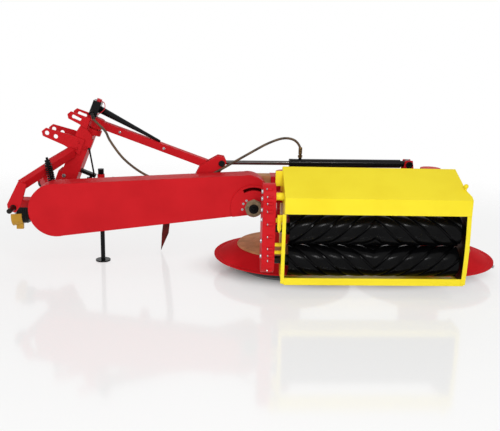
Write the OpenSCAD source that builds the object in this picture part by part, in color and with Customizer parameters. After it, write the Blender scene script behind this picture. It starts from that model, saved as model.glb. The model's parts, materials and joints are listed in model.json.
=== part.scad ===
// Drum mower conditioner with a three-point swivel headstock, parked on its stand.
// Units are millimetres. X runs from the tractor to the mowing head, Y points away
// from the conditioner outlet and Z is up. The ground is at Z = 0.

/* [Drums] */
// height of the lift hinge above the ground
hinge_z = 417; // [400:1:440]
// lift hinge to left drum axis
drum_x = 192; // [188:1:200]
// outer radius of a drum disc
disc_r = 405; // [400:1:406]
// knife reach beyond the disc rim
knife_out = 8; // [4:1:12]
// clear distance from a knife tip to the other disc
drum_gap = 29; // [24:1:36]
// height of the disc rim
rim_z = 90; // [86:1:96]
// height of the raised disc flange
flange_z = 150; // [140:1:160]
// radius of the raised disc flange
flange_r = 276; // [260:1:280]
// radius of a drum tube
tube_r = 120; // [100:1:128]
// disc sheet thickness
disc_t = 6; // [4:1:8]
// radius of the flat under a skid saucer
skid_flat_r = 220; // [200:1:240]
// knives on a disc
knife_n = 3; // [2:1:4]

/* [Gear beam] */
// depth of the gear beam
beam_d = 120; // [110:1:124]
// height of the gear beam
beam_h = 96; // [92:1:104]
// underside of the gear beam
beam_z = 470; // [460:1:475]

/* [Conditioner] */
// diameter of a rubber roll
roll_d = 160; // [150:1:160]
// distance between the roll axes
roll_pitch = 166; // [165:1:172]
// height of the lower roll axis
roll_z = 224; // [220:1:232]
// distance of the roll axes behind the drum line
roll_y = 530; // [525:1:540]
// rubber pads around a roll
pad_n = 5; // [4:1:6]
// depth of a groove between pads
groove_h = 12; // [6:1:16]
// width of a groove between pads
groove_w = 14; // [8:1:20]
// inner face of the left side plate from the hinge
side_x = 136; // [130:1:140]
// clear width between the side plates
side_gap = 924; // [915:1:930]
// side plate thickness
side_t = 8; // [6:1:10]
// hood sheet thickness
hood_t = 4; // [3:1:6]
// distance of the hood rear face behind the drum line
hood_y = 640; // [630:1:660]
// height of the hood lower edge
hood_low_z = 491; // [485:1:495]
// height of the hood crease
hood_mid_z = 573; // [565:1:585]
// height of the hood top edge
hood_top_z = 695; // [685:1:705]
// depth of the sloped hood panel
hood_slope_d = 200; // [190:1:210]
// width of the drive case
case_w = 66; // [60:1:70]
// end radius of the drive case
case_r = 75; // [70:1:76]

/* [Arm] */
// belt pulley distance between the input and the lift hinge
arm_l = 1088; // [1080:1:1100]
// height of the input pulley
input_z = 386; // [380:1:392]
// radius of the belt cover at the input pulley
cover_r1 = 148; // [140:1:150]
// radius of the belt cover at the output pulley
cover_r2 = 112; // [105:1:116]
// belt cover depth
cover_d = 130; // [120:1:134]
// belt cover sheet thickness
cover_t = 4; // [3:1:6]
// outer width of the arm beam
arm_w = 120; // [110:1:124]
// arm beam wall
arm_wall = 8; // [6:1:10]
// diameter of the lift hinge pin
hinge_pin_d = 60; // [50:1:64]

/* [Headstock] */
// lean of the kingpin
king_tilt = 21.7; // [20:0.1:23]
// kingpin distance in front of the drum line
king_y = 220; // [215:1:225]
// kingpin diameter
king_d = 50; // [40:1:54]
// width of the mast over its side plates
mast_w = 176; // [170:1:180]
// top link hole diameter
top_pin_d = 25.7; // [25.4:0.1:26]
// lower link pin diameter
low_pin_d = 28; // [27:0.1:28.4]
// distance between the lower link brackets
low_span = 680; // [676:1:690]
// shaft stub diameter
stub_d = 34.9; // [34:0.1:35]

/* [Cylinders] */
// lift cylinder tube diameter
lift_d = 48; // [44:1:56]
// lift cylinder rod diameter
lift_rod_d = 25; // [22:1:30]
// swing cylinder tube diameter
swing_d = 44; // [40:1:50]
// swing cylinder rod diameter
swing_rod_d = 22; // [20:1:26]

/* [Stand] */
// stand leg diameter
leg_d = 26; // [24:1:28]
// stand foot diameter
foot_d = 88; // [70:1:120]

/* [Fits] */
// running clearance around pins and shafts
fit = 0.08; // [0.02:0.01:0.1]
// clearance between turning and fixed pieces
air = 8; // [6:1:10]

/* [Hidden] */
$fn = 64;
PAINT = [0.80, 0.12, 0.15];
YELLOW = [0.95, 0.87, 0.20];
BLACK = [0.10, 0.10, 0.11];
CAST = [0.66, 0.48, 0.32];
STEEL = [0.66, 0.67, 0.68];
CHROME = [0.82, 0.84, 0.86];
HOSE = [0.32, 0.25, 0.18];
tangent_in = 1.2;
knife_r = disc_r + knife_out;
drum_pitch = disc_r + knife_r + drum_gap;
drum_xs = [drum_x, drum_x + drum_pitch];
cap_hs = [24, 56];
pulley_p = [-arm_l, input_z];
output_p = [-31, 487];
hinge_p = [0, hinge_z];
cover_y = -190;
cover_back_t = 4;
boss_d = 104;
arm_y = cover_y + cover_d + cover_back_t;
arm_far_y = arm_y + arm_w;
arm_mid_y = arm_y + arm_w / 2;
arm_slope = atan2(output_p[1] - pulley_p[1], output_p[0] - pulley_p[0]);
beam_top = beam_z + beam_h;
beam_y = -45;
beam_x = 105;
housing_d = 150;
drive_x = 180;
drive_y = -450;
drive_z = 536;
drive_d = 60;
roll_shaft_d = 40;
roll_core_d = 60;
lift_pin = [-178, 636];
lift_eye = [901, 645];
lift_y = arm_mid_y - 9;
lift_eye_w = 40;
ear_t = 10;
side_right_x = side_x + side_gap;
end_z = 583;
neck_r = 46;
neck_z = 366;
hood_a = atan2(hood_top_z - hood_mid_z, hood_slope_d);
case_x = 24;
case_y = -500;
case_low_z = 223;
case_top_z = 544;
mast_t = 10;
eye_z0 = 440;
eye_z1 = 500;
stay_z = 470;
stay_end = [-262, lift_y, 628];
stay_w = 44;
stay_d = 40;
low_pin_x = -224;
low_pin_root_d = low_pin_d + 6;
low_pin_head = 30;
low_pin_z = -91;
low_pin_l = 90;
bracket_t = 14;
pto_z = 262;
pto_x = -arm_l - 82;
guard_x = pulley_p[0] - 244;
guard_l = 70;
stub_l = 76;
pto_root_x = guard_x - 12;
pto_tip_x = pto_root_x - stub_l;
bell_x = guard_x - 36;
bell_l = 60;
stub_root_d = 40;
stand_p = [pulley_p[0] + 203, arm_far_y + 66];
leg_top = 564;
spike_y = 336;
spike_x = pulley_p[0] + 578;
swing_eye = [80, -20, 138];
swing_base = [pulley_p[0] + 448, 300, 455];
swing_pin_d = 18;
lift_pin_d = 26;
port_x = 272;
port_z = 686;
x_left = bell_x - bell_l;
x_right = drum_x + drum_pitch + disc_r;
y_near = -hood_y;
y_far = king_y + low_span / 2 + bracket_t / 2 + low_pin_l;
origin = [(x_left + x_right) / 2, (y_near + y_far) / 2, 0];

// outline of two circles joined by their common tangents, set in by a hair to fuse
module link2d(p, rp, q, rq) {
  len = norm(q - p);
  dir = atan2(q[1] - p[1], q[0] - p[0]);
  off = acos((rp - rq) / len);
  in_p = rp - tangent_in;
  in_q = rq - tangent_in;
  translate(p) circle(rp);
  translate(q) circle(rq);
  polygon([
    p + in_p * [cos(dir + off), sin(dir + off)],
    q + in_q * [cos(dir + off), sin(dir + off)],
    q + in_q * [cos(dir - off), sin(dir - off)],
    p + in_p * [cos(dir - off), sin(dir - off)]
  ]);
}

// the same outline as a plate parallel to XZ
module link_plate(p, rp, q, rq, y, t) {
  len = norm(q - p);
  dir = atan2(q[1] - p[1], q[0] - p[0]);
  off = acos((rp - rq) / len);
  in_p = rp - tangent_in;
  in_q = rq - tangent_in;
  union() {
    rod_y(p, 2 * rp, y, y + t);
    rod_y(q, 2 * rq, y, y + t);
    xz(y, t) polygon([
      p + in_p * [cos(dir + off), sin(dir + off)],
      q + in_q * [cos(dir + off), sin(dir + off)],
      q + in_q * [cos(dir - off), sin(dir - off)],
      p + in_p * [cos(dir - off), sin(dir - off)]
    ]);
  }
}

// plate parallel to XZ that starts at y and is t thick
module xz(y, t) {
  translate([0, y + t, 0]) rotate([90, 0, 0]) linear_extrude(t) children();
}

// plate parallel to YZ that starts at x and is t thick
module yz(x, t) {
  translate([x, 0, 0]) rotate([90, 0, 90]) linear_extrude(t) children();
}

// cylinder along Y from y0 to y1 at point p of the XZ plane
module rod_y(p, d, y0, y1) {
  translate([p[0], y1, p[1]]) rotate([90, 0, 0]) cylinder(d = d, h = y1 - y0);
}

// cylinder along X from x0 to x1
module rod_x(x0, x1, y, z, d) {
  translate([x0, y, z]) rotate([0, 90, 0]) cylinder(d = d, h = x1 - x0);
}

// turns Z towards the direction from p to q, with p as origin
module along(p, q) {
  d = q - p;
  translate(p) rotate([0, acos(d[2] / norm(d)), atan2(d[1], d[0])]) children();
}

// square bar between two points
module bar(p, q, w, h) {
  along(p, q) translate([-w / 2, -h / 2, 0]) cube([w, h, norm(q - p)]);
}

// round bar between two points
module round_bar(p, q, d) {
  along(p, q) cylinder(d = d, h = norm(q - p));
}

// bent round bar through a list of points, with a ball at each bend
module hose_path(points, d) {
  for (i = [0 : len(points) - 2]) round_bar(points[i], points[i + 1], d);
  for (i = [1 : len(points) - 2]) translate(points[i]) sphere(d = d + 1);
}

// frame of the leaning kingpin, with its Z along the pin
module king() {
  translate([pulley_p[0], king_y, pulley_p[1]]) rotate([0, king_tilt, 0]) children();
}

// world position of a point in the kingpin frame
function king_at(p) = [
  pulley_p[0] + p[0] * cos(king_tilt) + p[2] * sin(king_tilt),
  king_y + p[1],
  pulley_p[1] - p[0] * sin(king_tilt) + p[2] * cos(king_tilt)
];

// all pieces stand around the middle of the machine's ground box
module place() {
  translate(-origin) children();
}

// arm
module arm_beam() {
  color(PAINT) difference() {
    translate([pulley_p[0], arm_mid_y, pulley_p[1]]) rotate([0, -arm_slope, 0]) difference() {
      translate([0, -arm_w / 2, -arm_w / 2]) cube([arm_l - 190, arm_w, arm_w]);
      translate([-1, -arm_w / 2 + arm_wall, -arm_w / 2 + arm_wall])
        cube([arm_l, arm_w - 2 * arm_wall, arm_w - 2 * arm_wall]);
    }
    rod_y(pulley_p, housing_d, arm_y - 1, arm_far_y + 1);
  }
}

module belt_cover() {
  inner_1 = cover_r1 - cover_t;
  inner_2 = cover_r2 - cover_t;
  color(PAINT) difference() {
    link_plate(pulley_p, cover_r1, output_p, cover_r2, cover_y, cover_d);
    link_plate(pulley_p, inner_1, output_p, inner_2, cover_y + cover_t, cover_d);
    rod_y(hinge_p, boss_d, cover_y - 1, cover_y + cover_d + 1);
    xz(cover_y - 1, cover_t + 2) arc_slot();
  }
}

module arc_slot() {
  intersection() {
    difference() {
      translate(hinge_p) circle(116);
      translate(hinge_p) circle(98);
    }
    translate(hinge_p) polygon([[0, 0], [90, 190], [-120, 190]]);
  }
}

module cover_back() {
  color(PAINT) difference() {
    link_plate(pulley_p, cover_r1, output_p, cover_r2, cover_y + cover_d, cover_back_t);
    rod_y(hinge_p, boss_d, cover_y, arm_y + 1);
  }
}

module hinge_yoke() {
  color(PAINT) {
    difference() {
      union() {
        xz(cover_y - 12, 12) intersection() {
          translate(hinge_p) circle(128);
          link2d(pulley_p, cover_r1, output_p, cover_r2);
        }
        rod_y(hinge_p, boss_d, cover_y - 12, arm_y);
        difference() {
          xz(arm_y, 14) yoke_cheek();
          translate([pulley_p[0], arm_mid_y, pulley_p[1]]) rotate([0, -arm_slope, 0])
            translate([0, -arm_w / 2 - 5, -arm_w / 2]) cube([arm_l - 190, arm_w, arm_w]);
        }
        translate([-186, arm_y + 10, 488]) cube([40, arm_w - 6, 16]);
        xz(arm_far_y, 16) yoke_cheek();
      }
      xz(cover_y - 13, 14) arc_slot();
      rod_y(hinge_p, hinge_pin_d, cover_y - 20, arm_far_y + 20);
    }
  }
}

module yoke_cheek() {
  link2d([-190, 468], 55, hinge_p, 62);
}

module hinge_pin() {
  color(BLACK) {
    rod_y(hinge_p, hinge_pin_d - 2 * fit, cover_y - 34, arm_far_y + 24);
    rod_y(hinge_p, 84, cover_y - 22, cover_y - 12);
  }
}

module swivel_case() {
  color(CAST) difference() {
    union() {
      king() translate([0, 0, -70]) cylinder(r = 78, h = 100);
      rod_y(pulley_p, housing_d, arm_y, king_y - 80);
    }
    king() translate([0, 0, -80]) cylinder(d = king_d + 2 * fit, h = 140);
    king() translate([0, 0, 30]) cylinder(r = 200, h = 200);
  }
}

module stay_beam() {
  color(PAINT) difference() {
    union() {
      king() translate([0, 0, eye_z0]) cylinder(r = 38, h = eye_z1 - eye_z0);
      bar(king_at([0, 0, stay_z]), stay_end, stay_w, stay_d);
    }
    king() translate([0, 0, eye_z0 - 1]) cylinder(d = king_d + 2 * fit, h = 52);
  }
}

module lift_bracket() {
  outline = [[-351, 520], [-300, 622], [-200, 678], [-165, 672], [-150, 640], [-165, 612], [-218, 540]];
  color(PAINT) difference() {
    union() {
      for (y = [lift_y - lift_eye_w / 2 - ear_t - 1, lift_y + lift_eye_w / 2 + 1])
        xz(y, ear_t) polygon(outline);
      rod_y(lift_pin, lift_pin_d + 6, lift_y - lift_eye_w / 2 - ear_t - 7, lift_y - lift_eye_w / 2 - 1);
      rod_y(lift_pin, lift_pin_d + 6, lift_y + lift_eye_w / 2 + 1, lift_y + lift_eye_w / 2 + ear_t + 7);
    }
    translate([pulley_p[0], arm_mid_y, pulley_p[1]]) rotate([0, -arm_slope, 0])
      translate([0, -arm_w / 2, -arm_w]) cube([arm_l - 190, arm_w, arm_w * 1.5]);
    bar(king_at([0, 0, stay_z]), stay_end, stay_w, stay_d);
  }
}

module relief_strut() {
  p = king_at([-30, 45, 545]);
  root = king_at([0, 0, stay_z]);
  q = root + 0.58 * (stay_end - root) + [0, 0, 28];
  color(BLACK) difference() {
    union() {
      king() translate([-62, -24, eye_z1]) cube([48, 84, 90]);
      along(p, q) cylinder(r1 = 22, r2 = 7, h = norm(q - p));
    }
    bar(king_at([0, 0, stay_z]), stay_end, stay_w, stay_d);
  }
}

module dust_cap() {
  color(PAINT) king() {
    translate([-34, 10, eye_z1 + 90]) cylinder(d = 30, h = 16);
  }
}

module stand_sleeve() {
  color(PAINT) difference() {
    union() {
      translate([stand_p[0], stand_p[1], 420]) cylinder(d = leg_d + 16, h = 112);
      translate([stand_p[0] - 8, arm_far_y, 425]) cube([16, stand_p[1] - arm_far_y, 80]);
    }
    translate([stand_p[0], stand_p[1], 410]) cylinder(d = leg_d + 2 * fit, h = 150);
  }
}

module ground_spike() {
  color(PAINT) {
    translate([spike_x, 0, 0]) xz(spike_y, 12)
      polygon([[-41, 3], [8, 119], [21, 240], [40, 440], [0, 440], [-20, 240], [-35, 119]]);
    translate([spike_x, arm_far_y, 400]) cube([40, spike_y - arm_far_y, 40]);
  }
}

module belt_spring() {
  p = [pulley_p[0] - 34, arm_y + 15.5, 455];
  q = [pulley_p[0] - 69, arm_y + 15.5, 655];
  len = norm(q - p);
  color(BLACK) {
    along(p, q) {
      cylinder(d = 14, h = len);
      translate([0, 0, 30]) for (i = [0 : 10]) translate([0, 0, i * 10])
        rotate_extrude() translate([9.5, 0]) circle(d = 11);
      translate([0, 0, 20]) cylinder(d = 28, h = 6);
      translate([0, 0, 135]) cylinder(d = 28, h = 6);
      translate([0, 0, 141]) cylinder(d = 24, h = 16, $fn = 6);
    }
  }
}

module swing_mount() {
  color(PAINT) {
    translate([swing_base[0] - 40, arm_far_y, swing_base[2] - 62])
      cube([50, swing_base[1] - arm_far_y + 30, 30]);
    king_axis_at(swing_base) translate([0, 0, -45]) cylinder(d = swing_pin_d, h = 70);
  }
}

module king_axis_at(p) {
  translate(p) rotate([0, king_tilt, 0]) children();
}

module hose_feed() {
  pts = [
    [163, 168, 850], [235, 112, 789], [270, 74, 735], [346, 30, 646],
    [438, 10, 576], [528, 4, 532], [608, 0, 512]
  ];
  line = concat([king_at([-45, -30.2, 520])], [for (k = pts) k + [pulley_p[0], 0, 0]]);
  color(HOSE) hose_path(line, 14);
}

module hose_lift() {
  pts = [
    [-310, -41, 530], [-200, -41, 592], [-19, -39, 699], [82, -29, 754],
    [168, -13, 782], [232, -2, 773], [267, 0, 736], [port_x, 0, port_z]
  ];
  line = [for (k = pts) k + [0, lift_y, 0]];
  color(HOSE) hose_path(line, 14);
}

// headstock
module mast() {
  side = [[-81, 64], [12, 64], [12, 400], [-30, 425], [-30, 495], [-60, 495], [-81, 400]];
  color(PAINT) king() {
    for (y = [-mast_w / 2, mast_w / 2 - mast_t]) translate([0, y + mast_t, 0]) rotate([90, 0, 0])
      linear_extrude(mast_t) polygon(side);
    translate([-81, -mast_w / 2 + mast_t, 64]) cube([8, mast_w - 2 * mast_t, 336]);
    translate([-73, -mast_w / 2 + mast_t, 64]) cube([85, mast_w - 2 * mast_t, 16]);
    translate([-73, -mast_w / 2 + mast_t, 384]) cube([85, mast_w - 2 * mast_t, 16]);
    translate([0, 0, 400]) cylinder(d = king_d, h = 88);
    translate([0, 0, 400]) cylinder(d = 90, h = 32);
    translate([0, 0, -68]) cylinder(d = king_d, h = 132);
    translate([4, -mast_w / 2 + mast_t, 80]) cube([8, mast_w - 2 * mast_t, 304]);
    translate([-105, -60, -125]) cube([19, 120, 255]);
    translate([-86, -60, 64]) cube([5, 120, 66]);
    translate([12, swing_eye[1] - 22, swing_eye[2] + 24]) cube([swing_eye[0] + 12, 44, 18]);
    translate([12, -mast_w / 2, 330]) cube([12, 34, 50]);
  }
}

module top_clevis() {
  color(PAINT) king() {
    for (y = [-mast_w / 2 - mast_t, mast_w / 2]) translate([0, y + mast_t, 0]) rotate([90, 0, 0])
      linear_extrude(mast_t) difference() {
        polygon([[-20, 365], [-20, 270], [-120, 290], [-250, 295], [-265, 318], [-250, 345], [-120, 360]]);
        for (x = [-234, -181]) translate([x, 320]) circle(d = top_pin_d);
      }
  }
}

module slot_clevis() {
  color(PAINT) king() {
    for (y = [-mast_w / 2 - mast_t, mast_w / 2]) translate([0, y + mast_t, 0]) rotate([90, 0, 0])
      linear_extrude(mast_t) difference() {
        polygon([[-32, 494], [-32, 430], [-90, 440], [-150, 446], [-163, 468], [-150, 490]]);
        link2d([-125, 468], 11, [-90, 468], 10.999);
      }
  }
}

module lower_frame() {
  for (s = [-1, 1]) color(PAINT) king() {
    difference() {
      union() {
        bar([-60, s * 100, 275], [-230, s * 330, 40], 48, 38);
        bar([-95, s * 55, -80], [-225, s * 330, -60], 46, 46);
      }
      translate([-400, s * low_span / 2 - (s > 0 ? 0 : 60), -300]) cube([400, 60, 500]);
      translate([-105, -mast_w / 2 - mast_t, -200]) cube([117, mast_w + 2 * mast_t, 700]);
      translate([low_pin_x, s * (low_span / 2 - 18), low_pin_z]) rotate([90, 0, 0])
        cylinder(d = 48, h = 36 + 2 * fit, center = true);
    }
    translate([0, s * low_span / 2 + (s > 0 ? bracket_t : 0), 0]) rotate([90, 0, 0])
      linear_extrude(bracket_t) difference() {
        polygon([[-200, 62], [-248, 57], [-262, -86], [-246, -114], [-205, -114], [-190, -60]]);
        translate([low_pin_x, low_pin_z]) circle(d = low_pin_root_d + 2 * fit);
      }
  }
}

module lower_pins() {
  for (s = [-1, 1]) color(STEEL) king()
    translate([low_pin_x, s * (low_span / 2 - low_pin_head), low_pin_z]) rotate([-90 * s, 0, 0])
      union() {
        cylinder(d = low_pin_d, h = low_pin_head + bracket_t / 2 + low_pin_l);
        cylinder(d = low_pin_root_d, h = low_pin_head + bracket_t + 1);
        cylinder(d = 44, h = low_pin_head);
      }
}

module input_case() {
  color(PAINT) difference() {
    union() {
      king() translate([0, 0, -175]) cylinder(r = 72, h = 97);
      king() translate([-86, -50, -125]) cube([60, 100, 45]);
      rod_x(guard_x, pto_x, king_y, pto_z, 70);
    }
    king() translate([-105, -60, -125]) cube([19, 120, 300]);
    rod_x(guard_x - 10, pto_x - 60, king_y, pto_z, stub_root_d + 2 * fit);
  }
}

module shaft_guard() {
  color(BLACK) difference() {
    union() {
      rod_x(guard_x - guard_l, guard_x, king_y, pto_z, 100);
      for (i = [0 : 4]) translate([guard_x - guard_l + i * 13, 0, 0]) rod_x(2, 8, king_y, pto_z, 110);
    }
    rod_x(guard_x - guard_l - 10, guard_x - 8, king_y, pto_z, 76);
    rod_x(guard_x - 10, guard_x + 10, king_y, pto_z, stub_d + 12);
  }
}

module guard_bell() {
  color(YELLOW) difference() {
    union() {
      translate([bell_x, king_y, pto_z]) rotate([0, -90, 0]) cylinder(r1 = 58.2, r2 = 72, h = bell_l);
      translate([bell_x - 46, king_y - 12, pto_z - 92]) cube([40, 24, 40]);
    }
    translate([bell_x + 1, king_y, pto_z]) rotate([0, -90, 0]) cylinder(r1 = 54.8, r2 = 69.2, h = bell_l + 2);
    rod_x(guard_x - guard_l, guard_x, king_y, pto_z, 110.2);
    translate([bell_x - bell_l - 1, king_y - 80, pto_z + 14]) cube([bell_l + 2, 160, 80]);
  }
}

module pto_shaft() {
  color(STEEL) {
    rod_x(pto_tip_x, pto_root_x, king_y, pto_z, stub_d);
    rod_x(pto_root_x, pto_x - 62, king_y, pto_z, stub_root_d);
  }
}

module lock_rod() {
  color(BLACK) king() {
    translate([12, -80, 315]) cube([12, 16, 15]);
    round_bar([18, -72, 322], [105, -72, 175], 10);
  }
}

// stand
module stand_leg() {
  color(BLACK) {
    translate([stand_p[0], stand_p[1], 0]) {
      cylinder(d = foot_d, h = 8);
      cylinder(d = leg_d, h = leg_top - 2);
      translate([0, 0, 533]) cylinder(d = leg_d + 8, h = leg_top - 533);
    }
  }
}

// mowing head
module hinge_gearbox() {
  color(CAST) difference() {
    union() {
      rod_y(hinge_p, 132, arm_y + 22, arm_far_y - 8);
      xz(arm_y + 22, arm_w - 30)
        polygon([[0, 480], [22, beam_top], [beam_x, beam_top], [beam_x, 475], [66, 475], [50, 450]]);
    }
    rod_y(hinge_p, hinge_pin_d, arm_y, arm_far_y);
  }
}

module gear_beam() {
  color(PAINT) difference() {
    union() {
      translate([beam_x, beam_y, beam_z]) cube([drum_xs[1] + 130 - beam_x, beam_d, beam_h]);
      for (i = [0, 1]) translate([drum_xs[i], 0, beam_top]) cylinder(r = 58, h = cap_hs[i]);
      for (y = [lift_y - lift_eye_w / 2 - ear_t - 1, lift_y + lift_eye_w / 2 + 1])
        xz(y, ear_t) polygon([[862, beam_top], [880, 668], [922, 668], [940, beam_top]]);
      rod_y(lift_eye, lift_pin_d, lift_y - 36, lift_y + 36);
    }
    for (x = drum_xs) translate([x, 0, beam_z - 1]) cylinder(r = 36 + fit, h = 62);
  }
}

module drive_tube() {
  color(PAINT) {
    rod_y([drive_x, drive_z], drive_d, drive_y, beam_y);
    rod_x(case_x + case_w, drive_x, drive_y, drive_z, drive_d);
    translate([drive_x, drive_y, drive_z]) sphere(d = drive_d + 4);
  }
}

module drive_case() {
  case_end = case_x + case_w;
  color(PAINT) difference() {
    union() {
      rod_x(case_x, case_end, case_y, case_low_z, 2 * case_r);
      rod_x(case_x, case_end, case_y, case_top_z, 2 * case_r);
      translate([case_x, case_y - case_r + tangent_in, case_low_z])
        cube([case_w, 2 * (case_r - tangent_in), case_top_z - case_low_z]);
    }
    for (k = [0, 1])
      rod_x(case_end - 25, case_end + 1, -roll_y, roll_z + k * roll_pitch, roll_shaft_d + 2 * fit);
  }
}

module carrier_arm() {
  color(PAINT) difference() {
    translate([side_right_x - 40, -460, 505]) cube([40, 460 + beam_y, 55]);
    translate([side_right_x - 34, -461, 511]) cube([28, 470 + beam_y, 43]);
  }
}

module side_plates() {
  in_y = -hood_y + hood_t;
  mid = [-hood_y, hood_mid_z] + hood_t / (1 + sin(hood_a)) * [1 + sin(hood_a), -cos(hood_a)];
  top = [-hood_y + hood_slope_d, hood_top_z] + hood_t * [sin(hood_a), -cos(hood_a)];
  end_y = mid[0] + (end_z - mid[1]) / tan(hood_a);
  low = [[-385, 560], [-400, 300], [-440, 180], [-470, 122], [in_y + 20, 122], [in_y, 127], mid];
  color(YELLOW) for (x = [side_x - side_t, side_right_x]) difference() {
    yz(x, side_t)
      polygon(concat(low, x < side_right_x ? [top, [-405, 640]] : [[end_y, end_z], [-391, end_z]]));
    for (k = [0, 1])
      rod_x(x - 1, x + side_t + 1, -roll_y, roll_z + k * roll_pitch, roll_shaft_d + 2 * fit);
    rod_x(side_x - side_t - 1, side_x + 1, drive_y, drive_z, drive_d);
  }
}

module hood() {
  low = [-hood_y, hood_low_z];
  mid = [-hood_y, hood_mid_z];
  top = [-hood_y + hood_slope_d, hood_top_z];
  mid_in = mid + hood_t / (1 + sin(hood_a)) * [1 + sin(hood_a), -cos(hood_a)];
  top_in = top + hood_t * [sin(hood_a), -cos(hood_a)];
  end_x = side_right_x + side_t;
  end_y = mid_in[0] + (end_z - mid_in[1]) / tan(hood_a);
  slant = [[end_x, end_z + 4], [end_x - 21, 613], [end_x - 38, hood_top_z + 1]];
  slant_in = [
    [end_x - 38 - hood_t, hood_top_z + 1], [end_x - 21 - hood_t, 612],
    [end_x - 7, end_z + 2], [end_x - 7, end_z]
  ];
  color(YELLOW) union() {
    difference() {
      yz(side_x - side_t, side_gap + 2 * side_t)
        polygon([low, mid, top, top_in, mid_in, [-hood_y + hood_t, hood_low_z]]);
      xz(-hood_y - 1, hood_slope_d + 20)
        polygon(concat(slant, [[end_x + 1, hood_top_z + 1], [end_x + 1, end_z + 4]]));
    }
    intersection() {
      xz(-hood_y, hood_slope_d + 10) polygon(concat([[end_x, end_z]], slant, slant_in));
      yz(side_x, side_gap + side_t)
        polygon([[end_y - 1, end_z - 1], top_in + [0, 0.6], [top_in[0], end_z - 1]]);
    }
  }
}

module bottom_tray() {
  color(YELLOW) yz(side_x, side_gap)
    polygon([[-636, 122], [-636, 159], [-631, 159], [-631, 127], [-500, 127], [-500, 122]]);
}

module spacers() {
  rows = [[-545, 560, 40], [-560, 440, 24], [-560, 312, 20], [-562, 272, 20]];
  color(YELLOW) {
    for (r = rows) rod_x(case_x + case_w, side_x - side_t, r[0], r[1], r[2]);
    translate([92, -470, 598]) cube([side_x - side_t - 92, 12, 78]);
    xz(-606, 10) polygon([[96, 478], [128, 478], [128, 450], [116, 450], [116, 405], [106, 385], [96, 405]]);
  }
}

module hood_knob() {
  p = [side_right_x - 14, -hood_y + 64, hood_mid_z + 64 * tan(hood_a)];
  color(YELLOW) difference() {
    union() {
      translate(p - [0, 0, 6]) cylinder(d = 10, h = 18);
      translate(p + [0, 0, 20]) sphere(d = 24);
    }
    yz(side_x, side_gap + 50) polygon([
      [-hood_y, hood_mid_z], [-hood_y + hood_slope_d, hood_top_z], [-hood_y + hood_slope_d, 0], [-hood_y, 0]
    ]);
  }
}

// drums
module drum(x) {
  color(PAINT) translate([x, 0, 0]) union() {
    rotate_extrude() polygon([
      [tube_r - 6, flange_z], [tube_r, flange_z], [tube_r, neck_z - 40], [neck_r, neck_z],
      [neck_r, beam_z - air], [30, beam_z - air], [30, neck_z - 8], [tube_r - 6, neck_z - 48]
    ]);
    translate([0, 0, 20]) cylinder(r = 36, h = beam_z + 40 - 20);
  }
}

module ring(x) {
  color(CAST) translate([x, 0, 0]) rotate_extrude() polygon([
    [tube_r, flange_z], [flange_r - 6, flange_z], [flange_r - 12, flange_z + 10],
    [tube_r + 60, flange_z + 16], [tube_r, flange_z + 40]
  ]);
}

module disc(x) {
  color(PAINT) translate([x, 0, 0]) rotate_extrude() polygon([
    [36, flange_z - disc_t], [flange_r, flange_z - disc_t], [disc_r - 30, rim_z], [disc_r, rim_z],
    [disc_r, rim_z + disc_t], [disc_r - 28, rim_z + disc_t], [flange_r, flange_z], [36, flange_z]
  ]);
}

module knives(x, turn) {
  color(STEEL) translate([x, 0, rim_z - 5]) rotate(turn)
    for (i = [0 : knife_n - 1]) rotate(i * 360 / knife_n) translate([disc_r - 39, -22, 0]) intersection() {
      cube([60, 44, 5]);
      translate([39 - disc_r, 22, -1]) cylinder(r = knife_r, h = 8);
    }
}

module saucer(x) {
  color(BLACK) translate([x, 0, 0]) rotate_extrude() polygon([
    [36 + fit, 0], [skid_flat_r, 0], [285, 34], [322, 72], [315, 74], [279, 41], [skid_flat_r - 4, 8],
    [80, 8], [70, 60], [36 + fit, 60]
  ]);
}

// rolls
module roll(k, hand) {
  half = side_gap / 2 - 22;
  z = roll_z + k * roll_pitch;
  color(BLACK) translate([side_x + side_gap / 2, -roll_y, z]) rotate([0, 90, 0]) difference() {
    cylinder(d = roll_d, h = 2 * half, center = true);
    cylinder(d = roll_core_d, h = 2 * half + 2, center = true);
    for (s = [0, 1], i = [0 : pad_n - 1]) mirror([0, 0, s]) rotate(i * 360 / pad_n)
      linear_extrude(half + 1, twist = hand * 330, slices = 22, $fn = 4)
        translate([roll_d / 2 - groove_h, -groove_w / 2]) square([groove_h + 4, groove_w]);
  }
}

module roll_shaft(k) {
  color(STEEL) {
    rod_x(side_x + 12, side_right_x - 12, -roll_y, roll_z + k * roll_pitch, roll_core_d);
    rod_x(case_x + case_w - 24, side_right_x + 20, -roll_y, roll_z + k * roll_pitch, roll_shaft_d);
  }
}

// lift cylinder
lift_v = lift_pin - lift_eye;
lift_l = norm(lift_v);
lift_dir = atan2(lift_v[1], lift_v[0]);

module lift_frame() {
  translate([lift_eye[0], lift_y, lift_eye[1]]) rotate([0, -lift_dir, 0]) rotate([0, 90, 0]) children();
}

module lift_barrel() {
  color(BLACK) difference() {
    union() {
      lift_frame() translate([0, 0, 46]) cylinder(d = lift_d, h = 646);
      lift_frame() translate([0, 0, 15]) cylinder(d = 36, h = 40);
      rod_y(lift_eye, 50, lift_y - lift_eye_w / 2, lift_y + lift_eye_w / 2);
      translate([port_x, lift_y, port_z - 50]) cylinder(d = 18, h = 50);
    }
    rod_y(lift_eye, lift_pin_d + 2 * fit, lift_y - 30, lift_y + 30);
    lift_frame() translate([0, 0, 60]) cylinder(d = lift_rod_d + 2 * fit, h = 700);
  }
}

module lift_rod() {
  color(CHROME) {
    lift_frame() translate([0, 0, 330]) cylinder(d = lift_rod_d, h = lift_l - 330 - 18);
    rod_y(lift_pin, 46, lift_y - lift_eye_w / 2, lift_y + lift_eye_w / 2);
  }
}

// swing cylinder
swing_tip = king_at(swing_eye);

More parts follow.
